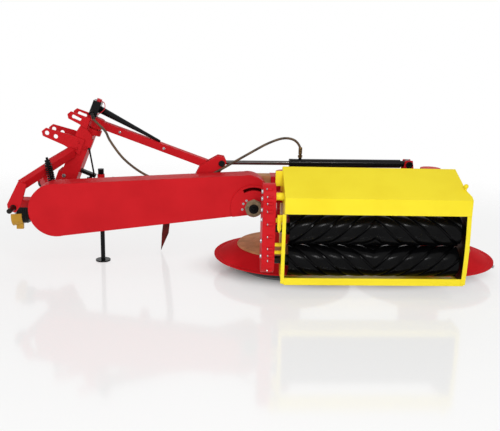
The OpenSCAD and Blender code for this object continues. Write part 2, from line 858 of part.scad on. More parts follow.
module swing_barrel() {
  len = norm(swing_tip - swing_base);
  color(BLACK) difference() {
    union() {
      along(swing_base, swing_tip) translate([0, 0, 18]) cylinder(d = swing_d, h = len - 150);
      king_axis_at(swing_base) translate([0, 0, -18]) cylinder(d = swing_d + 6, h = 36);
    }
    king_axis_at(swing_base) cylinder(d = swing_pin_d + 2 * fit, h = 80, center = true);
    along(swing_base, swing_tip) translate([0, 0, 40]) cylinder(d = swing_rod_d + 2 * fit, h = len);
  }
}

module swing_rod() {
  len = norm(swing_tip - swing_base);
  color(BLACK) {
    along(swing_base, swing_tip) translate([0, 0, len - 285]) cylinder(d = swing_rod_d, h = 270);
    king_axis_at(swing_tip) translate([0, 0, -9]) cylinder(d = 40, h = 18);
    king_axis_at(swing_tip) translate([0, 0, -14]) cylinder(d = swing_pin_d, h = 37);
  }
}

place() arm_beam();
place() belt_cover();
place() cover_back();
place() hinge_yoke();
place() hinge_pin();
place() swivel_case();
place() stay_beam();
place() lift_bracket();
place() relief_strut();
place() dust_cap();
place() stand_sleeve();
place() ground_spike();
place() belt_spring();
place() swing_mount();
place() hose_feed();
place() hose_lift();
place() mast();
place() top_clevis();
place() slot_clevis();
place() lower_frame();
place() lower_pins();
place() input_case();
place() shaft_guard();
place() guard_bell();
place() pto_shaft();
place() lock_rod();
place() stand_leg();
place() hinge_gearbox();
place() gear_beam();
place() drive_tube();
place() drive_case();
place() carrier_arm();
place() side_plates();
place() hood();
place() bottom_tray();
place() spacers();
place() hood_knob();
place() drum(drum_xs[0]);  // drum_left
place() drum(drum_xs[1]);  // drum_right
place() ring(drum_xs[0]);  // ring_left
place() ring(drum_xs[1]);  // ring_right
place() disc(drum_xs[0]);  // disc_left
place() disc(drum_xs[1]);  // disc_right
place() knives(drum_xs[0], 30);  // knives_left
place() knives(drum_xs[1], 90);  // knives_right
place() saucer(drum_xs[0]);  // saucer_left
place() saucer(drum_xs[1]);  // saucer_right
place() roll(1, -1);  // roll_upper
place() roll(0, 1);  // roll_lower
place() roll_shaft(1);  // shaft_upper
place() roll_shaft(0);  // shaft_lower
place() lift_barrel();
place() lift_rod();
place() swing_barrel();
place() swing_rod();
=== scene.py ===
import bpy, bmesh, json, math
from mathutils import Vector, Matrix


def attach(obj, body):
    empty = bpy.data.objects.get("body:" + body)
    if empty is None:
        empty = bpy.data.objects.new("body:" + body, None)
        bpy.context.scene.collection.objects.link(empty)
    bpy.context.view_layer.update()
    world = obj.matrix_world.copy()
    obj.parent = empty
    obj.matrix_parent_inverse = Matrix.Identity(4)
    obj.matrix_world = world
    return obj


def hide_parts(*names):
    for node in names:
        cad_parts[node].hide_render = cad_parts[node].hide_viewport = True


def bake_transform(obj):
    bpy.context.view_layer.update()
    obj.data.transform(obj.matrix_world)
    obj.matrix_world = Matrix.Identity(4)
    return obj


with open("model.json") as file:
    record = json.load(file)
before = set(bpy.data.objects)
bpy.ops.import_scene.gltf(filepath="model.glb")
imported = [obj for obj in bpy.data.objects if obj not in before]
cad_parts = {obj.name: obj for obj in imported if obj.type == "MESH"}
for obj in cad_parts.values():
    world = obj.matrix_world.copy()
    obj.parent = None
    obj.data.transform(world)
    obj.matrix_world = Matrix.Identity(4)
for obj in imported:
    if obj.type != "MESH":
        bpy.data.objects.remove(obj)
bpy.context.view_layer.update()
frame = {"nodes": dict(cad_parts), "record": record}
scene = bpy.context.scene
scene.view_settings.view_transform = "Standard"
nodes = frame["nodes"]
print("frame loaded:", len(nodes), "nodes")

# sizes below are in millimetres from the lift hinge, as on the drawing; origin is the middle of the ground box there
machine = dict(origin=(8, 8.5, 0), kingPin=(-1088, 220, 386), mastLean=math.radians(21.7))
leanSin, leanCos = math.sin(machine["mastLean"]), math.cos(machine["mastLean"])
kingAxis = Vector((leanSin, 0, leanCos))
kingFront = Vector((leanCos, 0, -leanSin))


def mm(x, y, z):
    return (Vector((x, y, z)) - Vector(machine["origin"])) / 1000


# a point of the leaning headstock, from its king pin
def king(x, y, z):
    return mm(*machine["kingPin"]) + (kingFront * x + Vector((0, y, 0)) + kingAxis * z) / 1000


# camera: pitch, yaw and roll read from the photograph's vanishing lines, 700 px focal length on 500 px
view = dict(place=(-0.244, -3.9785, 1.315), pitch=14.0, yaw=3.3, roll=1.5, focalPx=700, widePx=500, sensorMm=36)


def makeCamera():
    pitch, yaw, roll = (math.radians(view[k]) for k in ("pitch", "yaw", "roll"))
    ahead = Vector((math.sin(yaw) * math.cos(pitch), math.cos(yaw) * math.cos(pitch), -math.sin(pitch)))
    right = Vector((math.cos(yaw), -math.sin(yaw), 0))
    up = right.cross(ahead)
    right, up = right * math.cos(roll) + up * math.sin(roll), up * math.cos(roll) - right * math.sin(roll)
    data = bpy.data.cameras.new("camera")
    data.sensor_width = view["sensorMm"]
    data.lens = view["sensorMm"] * view["focalPx"] / view["widePx"]
    cam = bpy.data.objects.new("camera", data)
    scene.collection.objects.link(cam)
    turn = Matrix((right, up, -ahead)).transposed().to_4x4()
    cam.matrix_world = Matrix.Translation(view["place"]) @ turn
    scene.camera = cam


makeCamera()
print("camera set")


def toLinear(hexColor):
    parts = [int(hexColor[i:i + 2], 16) / 255 for i in (1, 3, 5)]
    return tuple(c / 12.92 if c <= 0.04045 else ((c + 0.055) / 1.055) ** 2.4 for c in parts) + (1.0,)


# adds one node; settings name attributes or input sockets, links name an input and where it comes from
def addNode(tree, kind, settings={}, links={}):
    node = tree.nodes.new(kind)
    for key, value in settings.items():
        if isinstance(key, str) and hasattr(node, key):
            setattr(node, key, value)
        else:
            node.inputs[key].default_value = value
    for key, source in links.items():
        tree.links.new(source, node.inputs[key])
    return node


# two tones between two levels of a pattern
def addRamp(tree, pattern, low, high):
    ramp = addNode(tree, "ShaderNodeValToRGB", {}, {"Fac": pattern})
    for element, (level, tone) in zip(ramp.color_ramp.elements, (low, high)):
        element.position = level
        element.color = toLinear(tone)
    return ramp.outputs["Color"]


def newMaterial(name):
    made = bpy.data.materials.new(name)
    made.use_nodes = True
    made.node_tree.nodes.clear()
    return made, made.node_tree


# shared body of every finish: colour drifts between two tones, a fine grain gives roughness and bump
def finish(name, tone, dark, rough, metal=0.0, ior=1.5, grainMm=3.0, driftMm=220.0, bump=0.05,
           edgeMm=2.0, roughSpread=0.08, specular=0.5):
    made, tree = newMaterial(name)
    place = addNode(tree, "ShaderNodeTexCoord").outputs["Object"]
    drift = addNode(tree, "ShaderNodeTexNoise", {"Scale": 1000 / driftMm, "Detail": 3.0}, {"Vector": place})
    grain = addNode(tree, "ShaderNodeTexNoise", {"Scale": 1000 / grainMm, "Detail": 2.0}, {"Vector": place})
    color = addRamp(tree, drift.outputs["Fac"], (0.35, dark), (0.62, tone))
    spread = addNode(tree, "ShaderNodeMapRange",
                     {"To Min": max(0.02, rough - roughSpread), "To Max": rough + roughSpread},
                     {"Value": grain.outputs["Fac"]})
    edge = addNode(tree, "ShaderNodeBevel", {"samples": 4, "Radius": edgeMm / 1000})
    relief = addNode(tree, "ShaderNodeBump", {"Strength": bump, "Distance": 0.001},
                     {"Height": grain.outputs["Fac"], "Normal": edge.outputs["Normal"]})
    shader = addNode(tree, "ShaderNodeBsdfPrincipled", {"Metallic": metal, "IOR": ior, "Specular IOR Level": specular},
                     {"Base Color": color, "Roughness": spread.outputs["Result"], "Normal": relief.outputs["Normal"]})
    addNode(tree, "ShaderNodeOutputMaterial", {}, {"Surface": shader.outputs["BSDF"]})
    return made


# stove enamel sprayed on welded steel: deep clean red, soft orange peel, a broad quiet sheen
redEnamel = finish("sprayedRedEnamel", "#CB1A22", "#C1161E", 0.48, grainMm=4.0, edgeMm=2.5, specular=0.13)
# the same enamel in lemon yellow on the pressed hood sheet
yellowEnamel = finish("sprayedYellowEnamel", "#F6E12C", "#F1DA26", 0.38, grainMm=4.0, edgeMm=2.5, specular=0.2)
# black chassis enamel, semi gloss
blackEnamel = finish("semiGlossBlackEnamel", "#0D0D0E", "#08080A", 0.24, bump=0.03, specular=0.14)
# cast iron under a thin ochre primer, sand grain still showing
primedCasting = finish("primedSandCasting", "#CE9468", "#B58056", 0.66, grainMm=2.4, driftMm=60, bump=0.35,
                       edgeMm=3.0, specular=0.12)
# oily cast iron of the hinge collar, greyish tan
oiledCasting = finish("oiledCastCollar", "#8F7C62", "#6F5E48", 0.50, grainMm=2.0, driftMm=24, bump=0.2, specular=0.3)
# machined steel, pale grey with a fine turned grain
turnedSteel = finish("turnedSteel", "#A9ABAD", "#95979A", 0.34, metal=1.0, grainMm=1.5, driftMm=40, edgeMm=0.8)
# oiled forged steel, dark grey with a greasy shine; on the roll shafts this dark is painted shade in the gap between
# the case and the side plates
oiledSteelAndGapShade = finish("oiledForgedSteelAndGapShade", "#3A3836", "#2A2827", 0.40, metal=1.0, grainMm=1.8, driftMm=30, bump=0.1,
                    edgeMm=1.0)
# hard chrome on a ground rod, grey with a long soft reflection
hardChrome = finish("hardChromeRod", "#6C6765", "#5E5A59", 0.16, metal=1.0, grainMm=2.0, driftMm=90, bump=0.01,
                    roughSpread=0.03, edgeMm=0.8)
# moulded rubber pads, dense black with a waxy gloss along the land edges
mouldedRubber = finish("mouldedRollRubber", "#0A0A0B", "#050506", 0.20, ior=1.52, grainMm=7.0, driftMm=50, bump=0.30,
                       specular=0.07)
# zinc plated fasteners, bright and slightly blue
zincPlate = finish("zincPlatedFastener", "#B9BCBF", "#A3A7AA", 0.28, metal=1.0, grainMm=1.5, driftMm=18, bump=0.04,
                   edgeMm=0.6)
# disc enamel dulled by soil and crop, the same red with a flat sheen
dulledEnamel = finish("cropDulledRedEnamel", "#D41C24", "#C6161E", 0.72, driftMm=160, bump=0.12, edgeMm=2.5,
                      specular=0.06)
# injection moulded guard plastic, amber yellow, fine eroded texture
amberPlastic = finish("mouldedAmberPlastic", "#D9AB3A", "#CE9F33", 0.45, ior=1.46, grainMm=1.6, driftMm=80, bump=0.1,
                      specular=0.3)
# black polyethylene, dull and slightly greasy
blackPlastic = finish("mouldedBlackPlastic", "#101010", "#0B0B0C", 0.42, grainMm=1.6, driftMm=80, bump=0.1,
                      specular=0.18)
# red polyethylene of the dust cap, even and a little waxy
redPlastic = finish("mouldedRedPlastic", "#C9202A", "#BC1A24", 0.40, grainMm=1.6, driftMm=40, bump=0.08, specular=0.35)
# red enamel of the ground spike, darkened all over as painted shade from the cover above it
spikeShadedEnamel = finish("spikeRedEnamelPaintedShade", "#6E1F1C", "#4A1A16", 0.62, driftMm=45, bump=0.25, edgeMm=1.5,
                       specular=0.2)
# yellow chromate on hose fittings, a dull olive brass look
chromateSteel = finish("yellowChromateFitting", "#6E5738", "#57452C", 0.36, metal=1.0, grainMm=1.5, driftMm=14,
                       edgeMm=0.6)


# textile covered hydraulic hose: olive brown, worn darker in diagonal bands; a diagonal wave of scale 1 has bands
# 2 pi / (10 root 3) metres apart
def wrappedHose(bandMm=65.3):
    made, tree = newMaterial("wrappedHoseRubber")
    place = addNode(tree, "ShaderNodeTexCoord")
    scale = 2 * math.pi / (10 * math.sqrt(3)) * 1000 / bandMm
    wrap = addNode(tree, "ShaderNodeTexWave", {"Scale": scale, "Distortion": 1.5, "Detail": 1.0,
                                               "bands_direction": "DIAGONAL"}, {"Vector": place.outputs["Object"]})
    color = addRamp(tree, wrap.outputs["Fac"], (0.0, "#3C2E20"), (1.0, "#5E4A34"))
    relief = addNode(tree, "ShaderNodeBump", {"Strength": 0.15, "Distance": 0.001}, {"Height": wrap.outputs["Fac"]})
    shader = addNode(tree, "ShaderNodeBsdfPrincipled", {"Roughness": 0.5, "IOR": 1.5},
                     {"Base Color": color, "Normal": relief.outputs["Normal"]})
    addNode(tree, "ShaderNodeOutputMaterial", {}, {"Surface": shader.outputs["BSDF"]})
    return made


hoseRubber = wrappedHose()


# a copy of a finish with a second colour where the mask is 1
def coatedWhere(base, name, tone, makeMask):
    made = base.copy()
    made.name = name
    tree = made.node_tree
    shader = next(node for node in tree.nodes if node.type == "BSDF_PRINCIPLED")
    outside = shader.inputs["Base Color"].links[0].from_socket
    mask = makeMask(tree, addNode(tree, "ShaderNodeTexCoord"))
    coat = addNode(tree, "ShaderNodeMixRGB", {"Color2": toLinear(tone)}, {"Fac": mask, "Color1": outside})
    tree.links.new(coat.outputs["Color"], shader.inputs["Base Color"])
    return made


# the side plates' faces that look towards the middle between them, in metres along X
def innerFaces(tree, place, middleX=0.59, leastFacing=-0.2):
    spot = addNode(tree, "ShaderNodeSeparateXYZ", {}, {"Vector": place.outputs["Object"]})
    facing = addNode(tree, "ShaderNodeSeparateXYZ", {}, {"Vector": place.outputs["Normal"]})
    side = addNode(tree, "ShaderNodeMath", {"operation": "SUBTRACT", 1: middleX}, {0: spot.outputs["X"]})
    inward = addNode(tree, "ShaderNodeMath", {"operation": "MULTIPLY"}, {0: side.outputs[0], 1: facing.outputs["X"]})
    inner = addNode(tree, "ShaderNodeMath", {"operation": "LESS_THAN", 1: leastFacing}, {0: inward.outputs[0]})
    return inner.outputs[0]


# the mast's lug for the swing cylinder: past the mast on the mowing head's side, and below the clevis
def mastLug(tree, place):
    marks = {}
    for axis, limit, sense in ((kingFront, king(13, 0, 0), "GREATER_THAN"), (kingAxis, king(0, 0, 210), "LESS_THAN")):
        along = addNode(tree, "ShaderNodeVectorMath", {"operation": "DOT_PRODUCT", 1: axis},
                        {0: place.outputs["Object"]})
        mark = addNode(tree, "ShaderNodeMath", {"operation": sense, 1: limit.dot(axis)}, {0: along.outputs["Value"]})
        marks[len(marks)] = mark.outputs[0]
    return addNode(tree, "ShaderNodeMath", {"operation": "MULTIPLY"}, marks).outputs[0]


# yellow outside; on the inner faces, where the plates look at each other, black as painted shade inside the conditioner
paintedShadeInside = coatedWhere(yellowEnamel, "yellowEnamelPaintedShadeInside", "#121110", innerFaces)
# red mast whose lug carries the black of the cylinder that it holds
blackLug = coatedWhere(redEnamel, "redEnamelBlackLug", "#0D0D0E", mastLug)

slotFinish = dict(red_paint=redEnamel, yellow_paint=yellowEnamel, black_paint=blackEnamel, casting=primedCasting,
                  steel=turnedSteel, chrome=hardChrome, roll_rubber=mouldedRubber, hose_rubber=hoseRubber,
                  black_plastic=blackPlastic, yellow_plastic=amberPlastic, red_plastic=redPlastic)
# the roll shafts carry the dark steel as painted shade in the gap between the case and the side plates
ownFinish = dict(hood_knob=yellowEnamel, lower_pins=oiledSteelAndGapShade, ground_spike=spikeShadedEnamel, shaft_upper=oiledSteelAndGapShade,
                 shaft_lower=oiledSteelAndGapShade, side_plates=paintedShadeInside, mast=blackLug, disc_left=dulledEnamel,
                 disc_right=dulledEnamel)
for part in frame["record"]["subparts"]:
    mesh = nodes[part["node"]].data
    mesh.materials.clear()
    mesh.materials.append(ownFinish.get(part["node"], slotFinish[part["material_slot"]]))
print("finishes laid on the CAD nodes")


def newObject(name, bm, material):
    mesh = bpy.data.meshes.new(name)
    bm.to_mesh(mesh)
    bm.free()
    mesh.materials.append(material)
    thing = bpy.data.objects.new(name, mesh)
    scene.collection.objects.link(thing)
    return thing


# a rigid piece on its body; edges beyond the sharp angle stay crisp, and with none the faces are flat
def meshPiece(name, bm, body, material, sharp=35):
    piece = newObject(name, bm, material)
    if sharp:
        for face in piece.data.polygons:
            face.use_smooth = True
        piece.data.set_sharp_from_angle(angle=math.radians(sharp))
    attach(piece, body)
    return piece


def ringAngles(sides):
    return [2 * math.pi * k / sides for k in range(sides)]


# closes a row of rings to a solid
def skin(bm, rings):
    around = len(rings[0])
    for low, high in zip(rings, rings[1:]):
        for j in range(around):
            k = (j + 1) % around
            bm.faces.new((low[j], low[k], high[k], high[j]))
    bm.faces.new(reversed(rings[0]))
    bm.faces.new(rings[-1])


# smooth line through the route's points, evenly stepped
def smoothRoute(points, steps=6):
    ends = [points[0] * 2 - points[1]] + points + [points[-1] * 2 - points[-2]]
    line = []
    for i in range(1, len(ends) - 2):
        a, b, c, d = ends[i - 1:i + 3]
        for k in range(steps):
            t = k / steps
            square, cube = 2 * a - 5 * b + 4 * c - d, 3 * b - a - 3 * c + d
            line.append(0.5 * (2 * b + (c - a) * t + square * t * t + cube * t ** 3))
    return line + [points[-1]]


# a hose as a tube of rings carried along its line without twist, only the stretch from first to last is drawn
def hoseTube(name, line, diameterMm, material, first=0, last=None, sides=14):
    end = len(line) - 1
    last = end if last is None else last
    bm = bmesh.new()
    ahead = (line[1] - line[0]).normalized()
    side = ahead.orthogonal().normalized()
    rings = []
    for k, place in enumerate(line):
        step = (line[min(k + 1, end)] - line[max(k - 1, 0)]).normalized()
        side = (ahead.rotation_difference(step) @ side).normalized()
        ahead = step
        other = ahead.cross(side)
        if first <= k <= last:
            rings.append([bm.verts.new(place + (side * math.cos(a) + other * math.sin(a)) * diameterMm / 2000)
                          for a in ringAngles(sides)])
    skin(bm, rings)
    piece = newObject(name, bm, material)
    for face in piece.data.polygons:
        face.use_smooth = len(face.vertices) == 4
    return piece


# hydraulic hoses: the feed comes down from the couplers, the lift hose arches over to the cylinder's port
hoses = dict(diameter=14, liftBends=4, portBends=-6,
             feed=[king(-45, -25, 520), mm(-924, 166, 848), mm(-853, 112, 789), mm(-818, 74, 735), mm(-742, 30, 646),
                   mm(-650, 10, 576), mm(-560, 4, 532), mm(-480, 0, 512)],
             lift=[mm(-310, -46, 530), mm(-200, -46, 592), mm(-19, -44, 699), mm(82, -34, 754), mm(168, -18, 782),
                   mm(232, -7, 773), mm(267, -5, 736), mm(272, -5, 686)])


def makeHoses():
    wide = hoses["diameter"]
    feed = smoothRoute(hoses["feed"])
    piece = hoseTube("hoseFeed", feed, wide, hoseRubber)
    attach(piece, "arm")
    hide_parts("hose_feed")
    lift = smoothRoute(hoses["lift"])
    peak = max(range(len(lift)), key=lambda k: lift[k].z)
    piece = hoseTube("hoseLiftArch", lift, wide, hoseRubber, last=peak)
    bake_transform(piece)
    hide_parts("hose_lift")
    piece = hoseTube("hoseLiftDrop", lift, wide, hoseRubber, first=peak)
    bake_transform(piece)


makeHoses()
print("hoses routed")


# one lathe turn from (radius, height) pairs in millimetres, along local Z
def lathe(bm, profile, turn, sides=24):
    rings = []
    for radius, height in profile:
        angles = ringAngles(sides) if radius > 0 else [0]
        rings.append([bm.verts.new(turn @ (Vector((radius * math.cos(a), radius * math.sin(a), height)) / 1000))
                      for a in angles])
    for low, high in zip(rings, rings[1:]):
        for k in range(sides):
            j = (k + 1) % sides
            if len(low) == 1 and len(high) > 1:
                bm.faces.new((low[0], high[j], high[k]))
            elif len(high) == 1 and len(low) > 1:
                bm.faces.new((low[k], low[j], high[0]))
            elif len(low) > 1:
                bm.faces.new((low[k], low[j], high[j], high[k]))


# profile of a round stub with a small chamfer at both ends
def stub(radius, base, long, inset, rise):
    top = base + long
    return [(0, base), (radius - inset, base), (radius, base + rise), (radius, top - rise), (radius - inset, top),
            (0, top)]


def aim(place, axis):
    axis = Vector(axis).normalized()
    return Matrix.Translation(place) @ axis.to_track_quat("Z", "Y").to_matrix().to_4x4()


# a hexagon head on its washer with a chamfered crown; sizes are shares of the thread
hexHead = dict(corner=0.92, washerR=1.12, washerH=0.15, headH=0.65, crownR=0.84, crownH=0.1, washerSides=20)


def boltPiece(name, body, places, material=zincPlate):
    bm = bmesh.new()
    for place, axis, thread in places:
        turn = aim(place, axis)
        wide, base = thread * hexHead["washerR"], thread * hexHead["washerH"]
        lathe(bm, [(0, 0), (wide, 0), (wide, base), (0, base)], turn, hexHead["washerSides"])
        corner, top = thread * hexHead["corner"], base + thread * hexHead["headH"]
        lathe(bm, [(0, base), (corner, base), (corner, top - thread * hexHead["crownH"]),
                   (corner * hexHead["crownR"], top), (0, top)], turn, 6)
    meshPiece(name, bm, body, material, sharp=0)


towardsOutlet = (0, -1, 0)

# drive case: flange screws in lugs lie along its rounded rim, across the machine; hexagon bolts stand on its side face
caseRim = dict(center=-500, radius=75, lowZ=223, topZ=544, proud=2, thread=6, lugR=7.5, lugLong=24, lugEdge=1.5,
               screws=[(45, 598), (47, 563), (48, 528), (49, 488), (51, 422), (53, 356), (55, 294), (57, 257),
                       (57, 230), (58, 172)],
               sideX=24, sideY=-556, sideThread=11, sideHeights=[586, 551, 492, 441, 330, 250])


def makeCaseBolts():
    lugs, places = bmesh.new(), []
    lug = stub(caseRim["lugR"], 0, caseRim["lugLong"], caseRim["lugEdge"], caseRim["lugEdge"])
    for x, z in caseRim["screws"]:
        over = max(0, z - caseRim["topZ"]) - max(0, caseRim["lowZ"] - z)
        y = caseRim["center"] - math.sqrt(caseRim["radius"] ** 2 - over ** 2) - caseRim["proud"]
        lathe(lugs, lug, aim(mm(x, y, z), (1, 0, 0)))
        places.append((mm(x, y, z), (-1, 0, 0), caseRim["thread"]))
    meshPiece("caseLugs", lugs, "head", redEnamel)
    for z in caseRim["sideHeights"]:
        places.append((mm(caseRim["sideX"], caseRim["sideY"], z), (-1, 0, 0), caseRim["sideThread"]))
    boltPiece("caseBolts", "head", places)


makeCaseBolts()

# lift hinge: eight-sided oily collar in two plates round the pin, black hub cap with its grease nipple, plate bolts
hingeFit = dict(hub=(0, 417), face=-202, collarSides=8, capFace=-224, capSides=32, thread=6,
                lowPlate=[(43, 0), (50, 0), (50, 9), (46, 13), (43, 13), (43, 0)],
                topPlate=[(27, 22), (47, 22), (47, 26), (44, 29), (31, 29), (27, 27), (27, 22)],
                cap=[(0, 0), (26, 0), (27, 2), (27, 6), (25, 8), (12, 8), (11, 5), (7, 5), (6, 12), (3, 15), (0, 15)],
                plateBolts=[(-57, 440), (-40, 458), (-62, 408)])


def makeHingeFittings():
    x, z = hingeFit["hub"]
    face = hingeFit["face"]
    collar = bmesh.new()
    for plate in ("lowPlate", "topPlate"):
        lathe(collar, hingeFit[plate], aim(mm(x, face, z), towardsOutlet), hingeFit["collarSides"])
    meshPiece("hingeCollar", collar, "arm", oiledCasting)
    cap = bmesh.new()
    lathe(cap, hingeFit["cap"], aim(mm(x, hingeFit["capFace"], z), towardsOutlet), hingeFit["capSides"])
    meshPiece("hingeCap", cap, "arm", blackEnamel)
    boltPiece("hingePlateBolts", "arm",
              [(mm(boltX, face, boltZ), towardsOutlet, hingeFit["thread"]) for boltX, boltZ in hingeFit["plateBolts"]])


makeHingeFittings()

# stay, bracket and mast: bolt heads on the stay's outlet side, a black pin head on the bracket, bolts on the headstock
frameBolts = dict(stay=[(-772.5, 150, 778), (-511.5, 60, 700.6)], stayOut=(-0.326, -0.945, 0), stayThread=7,
                  pin=(-178, -42, 636), pinSides=28,
                  pinHead=[(0, 0), (17, 0), (18, 1.5), (18, 5), (16.5, 7), (9, 7), (8, 4), (0, 4)],
                  mast=[(-62, 84), (-34, 84), (-8, 90), (-62, 118)], mastY=-88, mastThread=10,
                  clevis=[(-48, 300), (-48, 340), (-2, 320)], clevisY=-98, clevisThread=8)


def makeFrameBolts():
    boltPiece("stayBolts", "arm",
              [(mm(*place), frameBolts["stayOut"], frameBolts["stayThread"]) for place in frameBolts["stay"]])
    bm = bmesh.new()
    lathe(bm, frameBolts["pinHead"], aim(mm(*frameBolts["pin"]), towardsOutlet), frameBolts["pinSides"])
    meshPiece("liftPinHead", bm, "arm", blackEnamel)
    for name, group, material, slotName in (("mastBolts", "mast", zincPlate, "steel"),
                                            ("clevisBolts", "clevis", redEnamel, "red_paint")):
        y, thread = frameBolts[group + "Y"], frameBolts[group + "Thread"]
        boltPiece(name, "headstock", [(king(x, y, z), towardsOutlet, thread) for x, z in frameBolts[group]],
                  material)


makeFrameBolts()

# crimped hose ends: hexagon, ferrule with two grooves, taper onto the hose
hoseEnd = dict(port=(272, -5, 672), setBack=0.012, nut=[(0, 0), (13, 0), (13, 13), (10, 15), (0, 15)],
               ferrule=[(8, 14), (9, 20), (11, 22), (11, 30), (9.8, 32), (11, 34), (11, 42), (9.8, 44), (11, 46),
                        (11, 54), (8.2, 60), (7, 60)])


def makeHoseEnd(name, place, axis, body, material):
    bm = bmesh.new()
    turn = aim(place, axis)
    lathe(bm, hoseEnd["nut"], turn, 6)
    lathe(bm, hoseEnd["ferrule"], turn)
    meshPiece(name, bm, body, material)


makeHoseEnd("liftHoseEnd", mm(*hoseEnd["port"]), (0, 0, 1), "lift_barrel", chromateSteel)
feedStart, feedAfter = hoses["feed"][:2]
makeHoseEnd("feedHoseEnd", feedStart + (feedStart - feedAfter).normalized() * hoseEnd["setBack"],
            feedAfter - feedStart, "arm", oiledSteelAndGapShade)

# belt tension spring: threaded rod, coil of 8 mm wire, washers and lock nuts
tensioner = dict(foot=(-1122, -40.5, 455), head=(-1157, -40.5, 655), rod=7, rodEdge=2,
                 coilR=17.5, wire=4.1, coilFrom=29.5, coilTo=155.5, turns=11, perTurn=20, wireSides=8,
                 washers=[(20, 20), (160, 21)], washerThick=5, washerInset=0.6, washerRise=0.8,
                 nuts=[166, 178], nut=[(0, 0), (15, 0), (16, 1), (16, 9), (14.4, 10.5), (0, 10.5)])


def makeTensioner():
    foot, head = mm(*tensioner["foot"]), mm(*tensioner["head"])
    turn = aim(foot, head - foot)
    reach = (head - foot).length * 1000
    rod, edge = tensioner["rod"], tensioner["rodEdge"]
    bm = bmesh.new()
    lathe(bm, [(0, 0), (rod, 0), (rod, reach - edge), (rod - edge, reach), (0, reach)], turn)
    for base, radius in tensioner["washers"]:
        lathe(bm, stub(radius, base, tensioner["washerThick"], tensioner["washerInset"], tensioner["washerRise"]), turn)
    for base in tensioner["nuts"]:
        lathe(bm, [(radius, base + height) for radius, height in tensioner["nut"]], turn, 6)
    rings = []
    wire, steps = tensioner["wire"], tensioner["turns"] * tensioner["perTurn"]
    up = Vector((0, 0, 1))
    for k in range(steps + 1):
        a = 2 * math.pi * k / tensioner["perTurn"]
        height = tensioner["coilFrom"] + (tensioner["coilTo"] - tensioner["coilFrom"]) * k / steps
        out = Vector((math.cos(a), math.sin(a), 0))
        center = out * tensioner["coilR"] + up * height
        section = [(out * math.cos(b) + up * math.sin(b)) * wire for b in ringAngles(tensioner["wireSides"])]
        rings.append([bm.verts.new(turn @ ((center + offset) / 1000)) for offset in section])
    skin(bm, rings)
    piece = meshPiece("tensionSpring", bm, "arm", blackEnamel)
    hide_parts("belt_spring")


makeTensioner()

# lift cylinder: gland ring at the rod end and a black pin head at the base eye
cylinderTrim = dict(gland=(232, -5, 639.4), lean=(-1, 0, -0.0083), glandSides=32, basePin=(901, -41, 645), pinSides=28,
                    ring=[(16.5, 0), (23, 0), (24.6, 1.5), (24.6, 16), (23.4, 17), (24.6, 18), (24.6, 22), (23.9, 23)],
                    pinHead=[(0, 0), (19, 0), (20, 1.5), (20, 6), (18.5, 8), (10, 8), (9, 5), (0, 5)])


def makeCylinderTrim():
    bm = bmesh.new()
    turn = aim(mm(*cylinderTrim["gland"]), cylinderTrim["lean"])
    lathe(bm, cylinderTrim["ring"], turn, cylinderTrim["glandSides"])
    meshPiece("cylinderGland", bm, "lift_barrel", blackEnamel)
    bm = bmesh.new()
    lathe(bm, cylinderTrim["pinHead"], aim(mm(*cylinderTrim["basePin"]), towardsOutlet), cylinderTrim["pinSides"])
    meshPiece("cylinderBasePin", bm, "head", blackEnamel)


makeCylinderTrim()

# outlet posts: the front edge of each side plate is folded to a flange; the right one bows out half way up
postFlange = dict(front=-640, back=-636, low=131, high=490, steps=12, corner=1.2, sharp=30,
                  posts=[("outletPostRight", 1045, 1068, 4), ("outletPostLeft", 117, 136, 0)])


def makePostFlanges():
    y0, y1, c, steps = (postFlange[k] for k in ("front", "back", "corner", "steps"))
    for name, x0, x1, swell in postFlange["posts"]:
        outline = [(x0 + c, y0), (x1 - c, y0), (x1, y0 + c), (x1, y1 - c),
                   (x1 - c, y1), (x0 + c, y1), (x0, y1 - c), (x0, y0 + c)]
        bm = bmesh.new()
        rings = []
        for k in range(steps + 1):
            share = k / steps
            z = postFlange["low"] + (postFlange["high"] - postFlange["low"]) * share
            bow = swell * math.sin(math.pi * share)
            rings.append([bm.verts.new(mm(x + bow, y, z)) for x, y in outline])
        skin(bm, rings)
        meshPiece(name, bm, "head", yellowEnamel, postFlange["sharp"])


makePostFlanges()

# dust cap strap: a red plastic cord looped from the cap down to the coupler block
capStrap = dict(wide=4.5, sides=8,
                route=[(-26, -2, 600), (2, -14, 596), (14, -20, 566), (2, -28, 536), (-14, -26, 520)])


def makeCapStrap():
    line = smoothRoute([king(*point) for point in capStrap["route"]])
    piece = hoseTube("dustCapStrap", line, capStrap["wide"], redPlastic, sides=capStrap["sides"])
    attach(piece, "arm")


makeCapStrap()
print("fasteners, fittings and spring built")

# conditioner rolls: five rubber pads a roll wind from the middle to both ends; each pad is crowned and its edges
# are rounded, so that every land catches the light along its own line
rolls = dict(middle=598, half=440, back=-530, radius=80, pads=5, groove=14, depth=12, wind=330, proud=2.5, crown=3.4,
             edgeFrom=0.9, edgeDrop=3.5, steps=64, sharp=40,
             landShares=[-1.0, -0.97, -0.9, -0.78, -0.6, -0.38, -0.13, 0.13, 0.38, 0.6, 0.78, 0.9, 0.97, 1.0],
             axes=[("upperRollPads", "roll_upper", "upper_roll", 390, -1),
                   ("lowerRollPads", "roll_lower", "lower_roll", 224, 1)])


# radius of one pad across its pitch: groove floor, steep wall, rounded edge, crowned land
def padProfile():
    pitch = 360 / rolls["pads"]
    full = rolls["radius"]
    wall = math.degrees(rolls["groove"] / 2 / full)
    land = pitch / 2 - wall
    edgeFrom = rolls["edgeFrom"]
    profile = [(-wall, full - rolls["depth"]), (wall, full - rolls["depth"])]
    for share in rolls["landShares"]:
        past = max(0, abs(share) - edgeFrom) / (1 - edgeFrom)
        drop = rolls["crown"] * share ** 2 + rolls["edgeDrop"] * past ** 2
        profile.append((pitch / 2 + share * land, full + rolls["proud"] - drop))
    return [(i * pitch + a, radius) for i in range(rolls["pads"]) for a, radius in profile]


